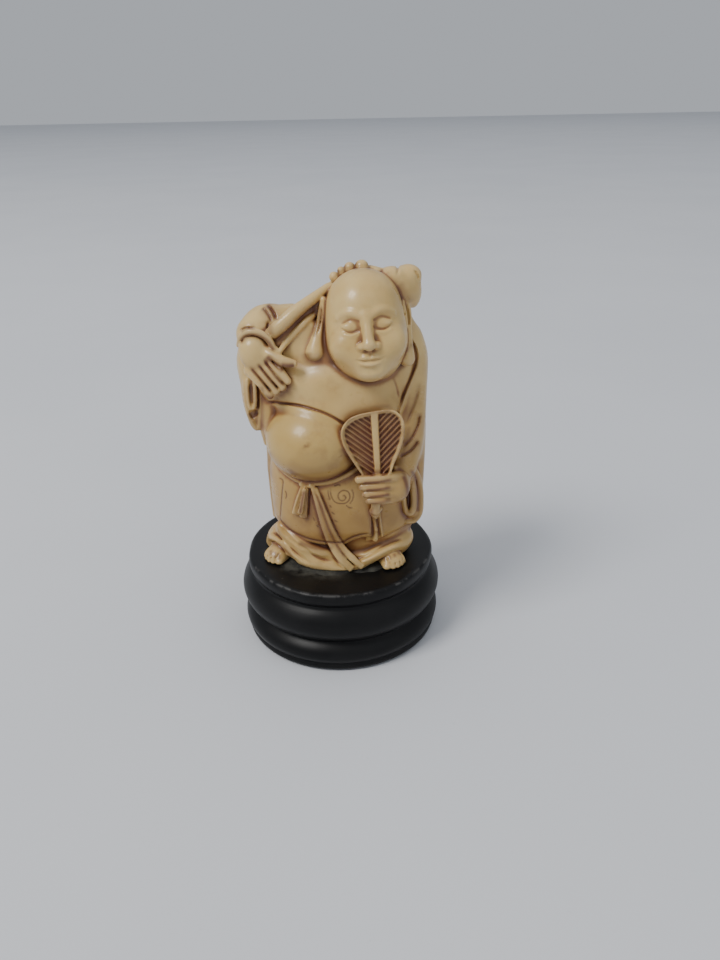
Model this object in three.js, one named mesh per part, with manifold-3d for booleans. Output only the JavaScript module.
// Standing laughing-buddha ornament: an ivory-coloured resin casting of a
// stout robed figure with a leaf fan, screwed and glued on a turned black
// wooden plinth with a felt disc underneath.
// Millimetres, +Z up, the figure looks along -Y. The origin is the centre of
// the felt's underside, on the plinth's axis.
import * as THREE from "three";
import { mergeVertices } from "three/addons/utils/BufferGeometryUtils.js";
import Module from "manifold-3d";

// ---------------------------------------------------------------- dimensions
const PLINTH_R = 28.0; // widest bead of the plinth
const PLINTH_TOP = 23.6; // flat top of the plinth
const PLINTH_FOOT = 0.5; // the wood's lowest ring stands clear of the table
const PLINTH_SIDES = 48;
const FELT_R = 22.5;
const FELT_T = 1.4; // felt thickness, sunk into the plinth by 0.9
const BORE_R = 2.3; // clearance hole for the screw
const BORE_BOTTOM = 11.0; // shoulder of the counterbore
const COUNTERBORE_R = 6.0;
const WASHER_R = 5.2;
const WASHER_HOLE_R = 2.2;
const WASHER_T = 0.9;
const SCREW_R = 1.75; // crest of the thread
const SCREW_CORE_R = 1.25;
const SCREW_HEAD_R = 3.6;
const SCREW_HEAD_H = 2.3;
const SCREW_TIP = 39.0; // highest point of the screw, inside the casting
const PILOT_R = 2.05; // pilot hole in the casting
const PILOT_TOP = 40.5;
const GLUE_T = 0.4; // adhesive film between casting and plinth
const FIGURE_BOTTOM = PLINTH_TOP + GLUE_T;

// ---------------------------------------------------------------- helpers
const wasm = await Module();
wasm.setup();

// A closed three.js geometry as a solid that can be joined and cut.
function solid(geometry) {
  const g = geometry.index ? geometry.toNonIndexed() : geometry.clone();
  for (const name of Object.keys(g.attributes))
    if (name !== "position") g.deleteAttribute(name);
  const merged = mergeVertices(g, 1e-4);
  return new wasm.Manifold(
    new wasm.Mesh({
      numProp: 3,
      vertProperties: merged.attributes.position.array,
      triVerts: new Uint32Array(merged.index.array),
    }),
  );
}

// A solid back as a three.js geometry.
function geometryOf(s) {
  const m = s.getMesh();
  const v = new Float32Array(m.numVert * 3);
  for (let i = 0; i < m.numVert; i++)
    v.set(m.vertProperties.subarray(i * m.numProp, i * m.numProp + 3), i * 3);
  const g = new THREE.BufferGeometry();
  g.setAttribute("position", new THREE.BufferAttribute(v, 3));
  g.setIndex(new THREE.BufferAttribute(new Uint32Array(m.triVerts), 1));
  g.computeVertexNormals();
  return g;
}

const rad = THREE.MathUtils.degToRad;

// An ellipsoid with centre c and half-axes r, turned by degrees about X, Y, Z.
function ellipsoid(c, r, turn = [0, 0, 0], across = 16, down = 10) {
  const g = new THREE.SphereGeometry(1, across, down);
  g.rotateX(Math.PI / 2);
  g.scale(...r);
  g.applyMatrix4(
    new THREE.Matrix4().makeRotationFromEuler(
      new THREE.Euler(rad(turn[0]), rad(turn[1]), rad(turn[2])),
    ),
  );
  g.translate(...c);
  return solid(g);
}

// A round-ended taper from a (radius ra) to b (radius rb).
function taper(a, b, ra, rb, sides = 10, cap = 3) {
  const A = new THREE.Vector3(...a);
  const B = new THREE.Vector3(...b);
  const length = A.distanceTo(B);
  const points = [];
  for (let i = 0; i <= cap; i++) {
    const t = -Math.PI / 2 + (i / cap) * (Math.PI / 2);
    points.push(
      new THREE.Vector2(i ? ra * Math.cos(t) : 0, ra * Math.sin(t)),
    );
  }
  for (let i = 0; i <= cap; i++) {
    const t = (i / cap) * (Math.PI / 2);
    points.push(
      new THREE.Vector2(
        i < cap ? rb * Math.cos(t) : 0,
        length + rb * Math.sin(t),
      ),
    );
  }
  const g = new THREE.LatheGeometry(points, sides);
  const q = new THREE.Quaternion().setFromUnitVectors(
    new THREE.Vector3(0, 1, 0),
    B.clone().sub(A).normalize(),
  );
  g.applyQuaternion(q);
  g.translate(...a);
  return solid(g);
}

// A round-ended limb bent through a run of [x, y, z, radius] stations: a capped
// cylinder whose rings follow a curve through the stations.
function limb(stations, sides = 8, perSpan = 2) {
  const first = stations[0];
  const last = stations[stations.length - 1];
  const curve = new THREE.CatmullRomCurve3(
    stations.map(([x, y, z]) => new THREE.Vector3(x, y, z)),
    false,
    "centripetal",
  );
  const spans = (stations.length - 1) * perSpan;
  const frames = curve.computeFrenetFrames(spans, false);
  const rings = [];
  for (let i = 0; i <= spans; i++) {
    const u = i / spans;
    const t = curve.getUtoTmapping(u, null) * (stations.length - 1);
    const k = Math.min(Math.floor(t), stations.length - 2);
    const r = stations[k][3] + (stations[k + 1][3] - stations[k][3]) * (t - k);
    rings.push({ c: curve.getPointAt(u), n: frames.normals[i], b: frames.binormals[i], r });
  }
  const end = (ring, tangent, r) => [
    { ...ring, c: ring.c.clone().addScaledVector(tangent, r * 0.62), r: r * 0.74 },
    { ...ring, c: ring.c.clone().addScaledVector(tangent, r * 0.96), r: r * 0.22 },
  ];
  const back = frames.tangents[0].clone().negate();
  rings.unshift(...end(rings[0], back, first[3]).reverse());
  rings.push(...end(rings[rings.length - 1], frames.tangents[spans], last[3]));
  const count = rings.length - 1;
  const g = new THREE.CylinderGeometry(1, 1, 1, sides, count, false);
  const position = g.attributes.position;
  const v = new THREE.Vector3();
  for (let i = 0; i < position.count; i++) {
    v.fromBufferAttribute(position, i);
    const ring = rings[Math.round((v.y + 0.5) * count)];
    const p = ring.c
      .clone()
      .addScaledVector(ring.n, v.z * ring.r)
      .addScaledVector(ring.b, v.x * ring.r);
    position.setXYZ(i, p.x, p.y, p.z);
  }
  return [solid(g)];
}

// A closed lathe about Z from [radius, z] stations.
function turned(stations, sides) {
  const g = new THREE.LatheGeometry(
    stations.map(([r, z]) => new THREE.Vector2(r, z)),
    sides,
  );
  g.rotateX(Math.PI / 2); // the lathe's axis Y becomes Z
  return g;
}

const joined = (list) => list.reduce((a, b) => a.add(b));

// ---------------------------------------------------------------- the casting
const parts = [];

// Robe: a bell-shaped mass, shallower than it is wide.
{
  const g = turned(
    [
      [0, 20],
      [17.4, 20],
      [17.8, 24],
      [18.8, 27],
      [18.5, 31],
      [18.2, 36],
      [18.5, 45],
      [19.4, 55],
      [20.2, 65],
      [20.0, 74],
      [17.6, 82],
      [12.5, 88],
      [6, 91.3],
      [0, 92],
    ],
    32,
  );
  g.scale(1, 0.82, 1);
  g.translate(1.0, 1.8, 0);
  parts.push(solid(g));
}
// Over-skirt: hangs from the waist to above the hem.
{
  const g = turned(
    [
      [0, 33.2],
      [19.2, 33.2],
      [19.4, 36],
      [18.9, 45],
      [18.2, 53],
      [0, 53],
    ],
    32,
  );
  g.scale(1, 0.83, 1);
  g.translate(0.2, 0.6, 0);
  parts.push(solid(g));
}
// Bare chest and belly.
parts.push(ellipsoid([-2.6, -5.2, 60], [15.4, 13.6, 11.4], [0, 0, 0], 22, 14));
parts.push(ellipsoid([0.5, -3.5, 76.5], [16.5, 11.2, 10.5], [0, 0, 0], 20, 12));

// Head, neck folds and long-lobed ears.
parts.push(ellipsoid([8.8, -3.6, 88.0], [9.6, 10.4, 12.0], [0, -6, 0], 20, 14));
parts.push(ellipsoid([10.2, -6.0, 81.5], [8.2, 7.6, 5.0], [0, -6, 0], 14, 8));
parts.push(ellipsoid([9.1, -14.0, 86.6], [1.3, 1.3, 1.8], [0, -6, 0], 8, 6));
parts.push(...limb([[-0.6, -3.4, 92.6, 1.3], [-1.8, -4.0, 87, 1.4], [-2.6, -6.4, 81.6, 2.2]], 7, 2));
parts.push(...limb([[17.6, -3.4, 91, 1.2], [18.0, -4.2, 86, 1.3], [18.4, -6.2, 80.4, 1.9]], 7, 2));

// Right arm: wide sleeve, hand flat on the chest, hanging cuff.
parts.push(...limb([[-4, 3.5, 87, 5.4], [-15.5, 0.5, 85.4, 6.4], [-17.6, -5.2, 83.2, 6.3]], 12, 2));
parts.push(ellipsoid([-16.6, -11.2, 81.4], [4.5, 4.4, 4.4], [0, 20, 0], 12, 8));
[
  [[-17.4, -14.0, 78.6], [-11.6, -15.4, 73.6]],
  [[-16.0, -14.6, 79.4], [-10.4, -15.7, 74.4]],
  [[-14.6, -14.8, 80.2], [-9.5, -15.8, 75.4]],
  [[-13.4, -14.6, 81.2], [-8.9, -15.7, 76.6]],
].forEach(([a, b]) => parts.push(taper(a, b, 1.15, 0.9, 6, 2)));
parts.push(taper([-13.6, -13.4, 82.6], [-8.0, -14.4, 81.3], 1.2, 0.95, 6, 2));
parts.push(...limb([[-20.4, -2.5, 82, 3.4], [-20.6, -3.4, 70, 2.6], [-20.2, -3.6, 63.4, 2.5]], 8, 2));
parts.push(...limb([[-17.4, -3.0, 80, 3.2], [-17.6, -4.6, 68, 2.4], [-17.6, -3.6, 62.6, 2.0]], 8, 2));

// Rolled edge over the right shoulder, and the collar band beside it.
parts.push(...limb([[-11.4, -9.2, 86.4, 1.9], [-8.6, -8.4, 88.6, 2.0], [-5.4, -7.2, 91.4, 1.8], [-2.4, -5.2, 94.0, 1.5], [0.2, -3.0, 96.4, 1.3]], 7, 2));
parts.push(...limb([[-13.6, -12.0, 83.0, 0.9], [-8.4, -11.4, 89.0, 0.9], [-4.6, -9.6, 92.2, 0.9], [-1.2, -6.6, 94.2, 0.9]], 6, 2));
parts.push(ellipsoid([-5, -4, 87], [8, 8, 6], [0, -30, 0], 12, 8));

// Left arm: sleeve down the side, forearm forward to the fan.
parts.push(...limb([[16.4, 2.0, 82, 6.2], [18.2, 0.0, 66, 5.0], [18.0, -3.5, 55, 5.2], [16.6, -11.4, 51.0, 3.8]], 12, 2));
parts.push(...limb([[19.6, -6.6, 53, 3.4], [19.8, -7.6, 43, 3.2], [19.2, -7.6, 37, 2.8]], 8, 2));
parts.push(ellipsoid([13.6, -16.2, 50.2], [4.0, 4.0, 4.6], [0, 0, 0], 12, 8));
[53.6, 51.2, 48.9, 46.8].forEach((z, i) =>
  parts.push(taper([13.4, -18.6 + 0.2 * i, z], [6.6 + 0.5 * i, -19.2 + 0.3 * i, z - 0.1], 1.35, 1.15, 6, 2)),
);

// Leaf fan: an egg-shaped blade leaning on chest and belly, with a raised
// rim, a midrib, slanting ribs and a handle that runs through the fist.
{
  const place = new THREE.Matrix4()
    .makeTranslation(10.2, -17.4, 62.4)
    .multiply(new THREE.Matrix4().makeRotationFromEuler(new THREE.Euler(rad(90 - 5), 0, 0)))
    .multiply(new THREE.Matrix4().makeRotationFromEuler(new THREE.Euler(0, 0, rad(4))));
  const outline = new THREE.Shape();
  outline.moveTo(-2.6, -9.6);
  outline.bezierCurveTo(-5.0, -5.0, -7.9, -1.6, -7.5, 3.2);
  outline.bezierCurveTo(-7.2, 7.0, -3.8, 8.6, 0, 8.6);
  outline.bezierCurveTo(3.8, 8.6, 7.2, 7.0, 7.5, 3.2);
  outline.bezierCurveTo(7.9, -1.6, 5.0, -5.0, 2.6, -9.6);
  outline.closePath();
  const blade = new THREE.ExtrudeGeometry(outline, { depth: 5.6, bevelEnabled: false, curveSegments: 7 });
  blade.translate(0, 0, -4.9); // the casting is solid behind the leaf
  blade.applyMatrix4(place);
  parts.push(solid(blade));
  const ring = new THREE.Shape(outline.getPoints(7));
  ring.holes.push(new THREE.Path(outline.getPoints(7).map((p) => new THREE.Vector2(p.x * 0.84, p.y * 0.86 - 0.1)).reverse()));
  const rim = new THREE.ExtrudeGeometry(ring, { depth: 1.6, bevelEnabled: false });
  rim.translate(0, 0, -0.2);
  rim.applyMatrix4(place);
  parts.push(solid(rim));
  const rib = [[0, 8.2], [0, -9.4]].map(([x, y]) => {
    const v = new THREE.Vector3(x, y, 0.8).applyMatrix4(place);
    return [v.x, v.y, v.z, 0.85];
  });
  parts.push(...limb(rib, 6, 1));
}
parts.push(...limb([[11.6, -18.4, 53.6, 1.7], [10.7, -18.2, 44.8, 1.6], [10.6, -17.4, 42.6, 1.4]], 7, 2));
parts.push(...limb([[10.9, -16.8, 42.4, 0.9], [11.2, -15.6, 38.4, 0.9], [11.2, -15.2, 34.6, 1.3]], 6, 2));

// Waistband below the belly, bow and long sash end.
parts.push(...limb([[-15.4, -7.4, 53.4, 0.95], [-11.9, -12.0, 51.4, 0.95], [-6.0, -15.8, 49.8, 0.95], [-1.0, -16.8, 50.6, 0.95], [4.4, -16.6, 54.4, 0.95]], 6, 2));
parts.push(ellipsoid([-7.4, -16.6, 49.2], [1.9, 1.5, 1.5], [0, 0, 0], 8, 6));
parts.push(...limb([[-7.8, -16.4, 49.0, 1.0], [-9.4, -16.4, 45.4, 1.4], [-10.2, -16.0, 42.2, 1.5]], 6, 2));
parts.push(...limb([[-7.2, -16.4, 49.0, 1.0], [-7.6, -16.6, 45.4, 1.3], [-8.0, -16.2, 42.0, 1.4]], 6, 2));
parts.push(...limb([[-6.4, -16.2, 49.0, 1.3], [-3.6, -16.6, 42.4, 1.6], [-0.8, -15.8, 34.2, 1.7], [2.0, -14.8, 28.6, 1.9], [5.6, -13.6, 25.2, 2.0]], 6, 2));

// Trailing hem of the under-robe, open over the toes.
parts.push(...limb([[-19.4, 4.0, 27.0, 2.4], [-19.0, -1.6, 27.8, 2.2], [-14.6, -8.6, 28.4, 2.1], [-8.6, -12.0, 26.8, 2.3], [-1.0, -13.2, 25.4, 2.2], [4.0, -13.0, 24.6, 2.3], [9.0, -12.4, 26.8, 2.2], [14.6, -9.2, 28.8, 2.1], [18.2, -3.6, 28.6, 2.2], [18.6, 4.0, 27.0, 2.4]], 7, 2));

// Feet with toes.
for (const [x, y, turn] of [[-17.0, -4.6, 14], [14.2, -9.4, -8]]) {
  parts.push(ellipsoid([x, y, 25.0], [3.7, 5.0, 2.6], [0, 0, -turn], 12, 8));
  for (let i = 0; i < 5; i++) {
    const side = (i - 2) * 1.45;
    const a = rad(turn);
    const ahead = 4.5 - 0.22 * (i - 2) ** 2;
    parts.push(
      ellipsoid(
        [x + side * Math.cos(a) - ahead * Math.sin(a) * 0.6, y - ahead * Math.cos(a) - side * Math.sin(a), 25.0],
        [0.85, 1.3, 0.95],
        [0, 0, -turn],
        6,
        4,
      ),
    );
  }
}

// Cloth sack on the back: bag, gathered neck, tied end and pleated mouth.
parts.push(ellipsoid([4.8, 9.0, 74.5], [19.6, 10.5, 17.2], [0, 0, 0], 20, 12));
parts.push(...limb([[8, 8, 86, 8.5], [10.5, 5.5, 94, 6.0], [17.4, 4.4, 96.4, 3.6], [18.8, 4.2, 93.6, 3.0]], 12, 2));
parts.push(ellipsoid([18.2, 4.4, 97.6], [2.8, 2.8, 2.2], [0, 0, 0], 10, 6));
[
  [0.6, -0.6, 96.4],
  [2.2, 0.4, 98.4],
  [4.2, 1.4, 99.8],
  [6.6, 2.2, 100.5],
  [8.8, 2.6, 100.2],
].forEach((p, i) => parts.push(taper([9, 6, 92], p, 2.0, 1.15, 6, 2)));

// The sole is one flat, and a blind pilot hole takes the screw.
const below = solid(new THREE.BoxGeometry(120, 120, 40).translate(0, 0, FIGURE_BOTTOM - 20));
const pilot = solid(
  turned(
    [
      [0, FIGURE_BOTTOM - 2],
      [PILOT_R, FIGURE_BOTTOM - 2],
      [PILOT_R, PILOT_TOP - 1.2],
      [0, PILOT_TOP],
    ],
    24,
  ),
);
const figureSolid = joined(parts).subtract(below).subtract(pilot);

// ---------------------------------------------------------------- the plinth
// Turned profile: foot bead, groove, main bead, groove and a flat-topped disc,
// bored for the screw, counterbored for its head and sunk for the felt.
const bead = (r0, z0, r1, z1, bulge, n) =>
  Array.from({ length: n + 1 }, (_, i) => {
    const t = i / n;
    return [
      r0 + (r1 - r0) * t + bulge * Math.sin(Math.PI * t),
      z0 + (z1 - z0) * t,
    ];
  });
const plinthGeometry = turned(
  [
    [FELT_R + 0.3, PLINTH_FOOT],
    [26.2, PLINTH_FOOT],
    ...bead(26.9, PLINTH_FOOT + 0.6, 25.3, 8.2, 1.7, 7),
    ...bead(25.4, 8.7, 25.5, 18.4, PLINTH_R - 25.45, 9),
    [25.0, 19.2],
    [25.3, 20.0],
    [25.9, 21.2],
    [26.0, 22.6],
    [25.7, 23.3],
    [25.2, PLINTH_TOP],
    [BORE_R, PLINTH_TOP],
    [BORE_R, BORE_BOTTOM],
    [COUNTERBORE_R, BORE_BOTTOM],
    [COUNTERBORE_R, FELT_T],
    [FELT_R + 0.3, FELT_T],
    [FELT_R + 0.3, PLINTH_FOOT],
  ],
  PLINTH_SIDES,
);

// ---------------------------------------------------------------- felt disc
const feltGeometry = turned(
  [
    [0, 0],
    [FELT_R - 0.2, 0],
    [FELT_R, 0.25],
    [FELT_R, FELT_T],
    [0, FELT_T],
  ],
  48,
);

// ---------------------------------------------------------------- fastener
const washerGeometry = turned(
  [
    [WASHER_HOLE_R, BORE_BOTTOM - WASHER_T],
    [WASHER_R, BORE_BOTTOM - WASHER_T],
    [WASHER_R, BORE_BOTTOM],
    [WASHER_HOLE_R, BORE_BOTTOM],
    [WASHER_HOLE_R, BORE_BOTTOM - WASHER_T],
  ],
  32,
);
// Pan-head wood screw; ring ridges stand for the thread, and the cross recess
// is cut into the head.
const underHead = BORE_BOTTOM - WASHER_T;
const screwProfile = [
  [0, underHead - SCREW_HEAD_H],
  [SCREW_HEAD_R * 0.62, underHead - SCREW_HEAD_H],
  [SCREW_HEAD_R * 0.9, underHead - SCREW_HEAD_H * 0.72],
  [SCREW_HEAD_R, underHead - SCREW_HEAD_H * 0.35],
  [SCREW_HEAD_R, underHead],
  [SCREW_R * 0.94, underHead],
  [SCREW_R * 0.94, 21.0],
];
for (let z = 22.0; z < 34.6; z += 1.8)
  screwProfile.push([SCREW_CORE_R, z - 0.1], [SCREW_R, z + 0.8], [SCREW_R, z + 0.95], [SCREW_CORE_R, z + 1.3]);
screwProfile.push([0.75, 37.2], [0, SCREW_TIP]);
const slot = (turn) => {
  const g = new THREE.BoxGeometry(4.0, 0.9, 2.2);
  g.rotateZ(turn);
  g.translate(0, 0, underHead - SCREW_HEAD_H);
  return solid(g);
};
const screwSolid = solid(turned(screwProfile, 16)).subtract(
  slot(0).add(slot(Math.PI / 2)),
);

// ---------------------------------------------------------------- adhesive
// A film under the casting's sole that squeezed out a little at the front.
const gluePoints = [
  [-19.2, 3.0],
  [-18.6, -5.6],
  [-14.6, -8.6],
  [-11.2, -11.8],
  [-7.4, -14.3],
  [-3.4, -15.4],
  [0.8, -16.2],
  [5.2, -16.4],
  [9.6, -15.2],
  [13.2, -15.6],
  [16.4, -11.6],
  [18.2, -6.4],
  [18.9, 2.0],
  [16.2, 10.0],
  [9.0, 15.2],
  [0.5, 16.4],
  [-8.4, 15.0],
  [-15.6, 9.8],
];
const glueShape = new THREE.Shape(
  new THREE.SplineCurve([...gluePoints, gluePoints[0]].map(([x, y]) => new THREE.Vector2(x, y))).getPoints(72).slice(0, -1),
);
glueShape.holes.push(new THREE.Path().absarc(0, 0, 2.6, 0, Math.PI * 2, true));
const glueGeometry = new THREE.ExtrudeGeometry(glueShape, {
  depth: GLUE_T,
  bevelEnabled: false,
  curveSegments: 12,
});
glueGeometry.translate(0, 0, PLINTH_TOP);

// ---------------------------------------------------------------- assembly
const resin = new THREE.MeshStandardMaterial({ color: 0xd8bf8c, roughness: 0.36, metalness: 0 });
const lacquer = new THREE.MeshStandardMaterial({ color: 0x131313, roughness: 0.48, metalness: 0 });
const felt = new THREE.MeshStandardMaterial({ color: 0x1f3a2a, roughness: 0.98, metalness: 0 });
const steel = new THREE.MeshStandardMaterial({ color: 0x9a9da0, roughness: 0.35, metalness: 1 });
const glue = new THREE.MeshStandardMaterial({ color: 0x3a342a, roughness: 0.5, metalness: 0 });

function piece(name, geometry, material) {
  const mesh = new THREE.Mesh(geometry, material);
  mesh.name = name;
  return mesh;
}

const ornament = new THREE.Group();
const mounted = new THREE.Group(); // what stands on the plinth
mounted.add(piece("figure_casting", geometryOf(figureSolid), resin));
mounted.add(piece("adhesive_film", glueGeometry, glue));
const stand = new THREE.Group(); // the plinth and what is under it
stand.add(piece("plinth", plinthGeometry, lacquer));
stand.add(piece("felt_pad", feltGeometry, felt));
const fastening = new THREE.Group(); // screw and washer, on the axis
fastening.add(piece("fixing_screw", geometryOf(screwSolid), steel));
fastening.add(piece("screw_washer", washerGeometry, steel));
ornament.add(mounted, stand, fastening);

export default ornament;
